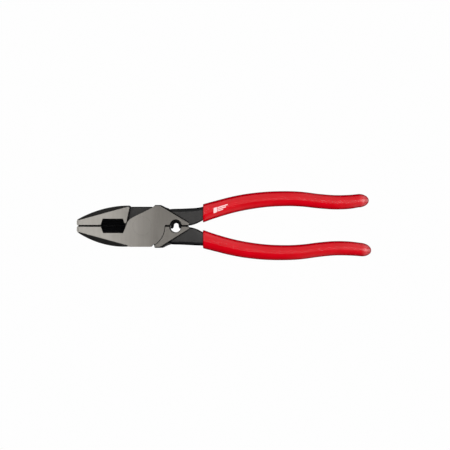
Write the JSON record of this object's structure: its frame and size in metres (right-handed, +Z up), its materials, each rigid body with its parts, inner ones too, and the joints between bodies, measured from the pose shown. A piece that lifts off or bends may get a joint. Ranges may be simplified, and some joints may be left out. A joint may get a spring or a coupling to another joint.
{
  "type": "lineman pliers",
  "caption": "Lineman pliers: lap-jointed forged levers with a flat serrated nose, side-cutting knives, a crimping die behind the flush rivet and dipped vinyl grips.",
  "frame": {"origin": "on the rivet axis, in the plane of the head's flat underside", "axes": "+Z up along the rivet, out of the upper face; +X from the rivet towards the handle ends, so the jaws point to -X; +Y towards the upper grip"},
  "size_m": [0.2394, 0.0562, 0.016],
  "materials": {
    "forged_upper": "ground bright faces, black oxide forging elsewhere",
    "forged_lower": "ground bright faces, black oxide forging elsewhere",
    "rivet_steel": "ground flush with the head",
    "vinyl_upper": "smooth dipped vinyl, satin gloss",
    "vinyl_lower": "smooth dipped vinyl, satin gloss"
  },
  "bodies": {
    "lower_half": {"lower_lever": "forged_lower", "joint_rivet": "rivet_steel", "lower_grip": "vinyl_lower"},
    "upper_half": {"upper_lever": "forged_upper", "upper_grip": "vinyl_upper"}
  },
  "joints": [
    {"name": "pivot", "type": "hinge", "parent": "lower_half", "child": "upper_half", "pos_m": [0, 0, 0.008], "axis": [0, 0, 1], "range_deg": [0, 50]}
  ]
}
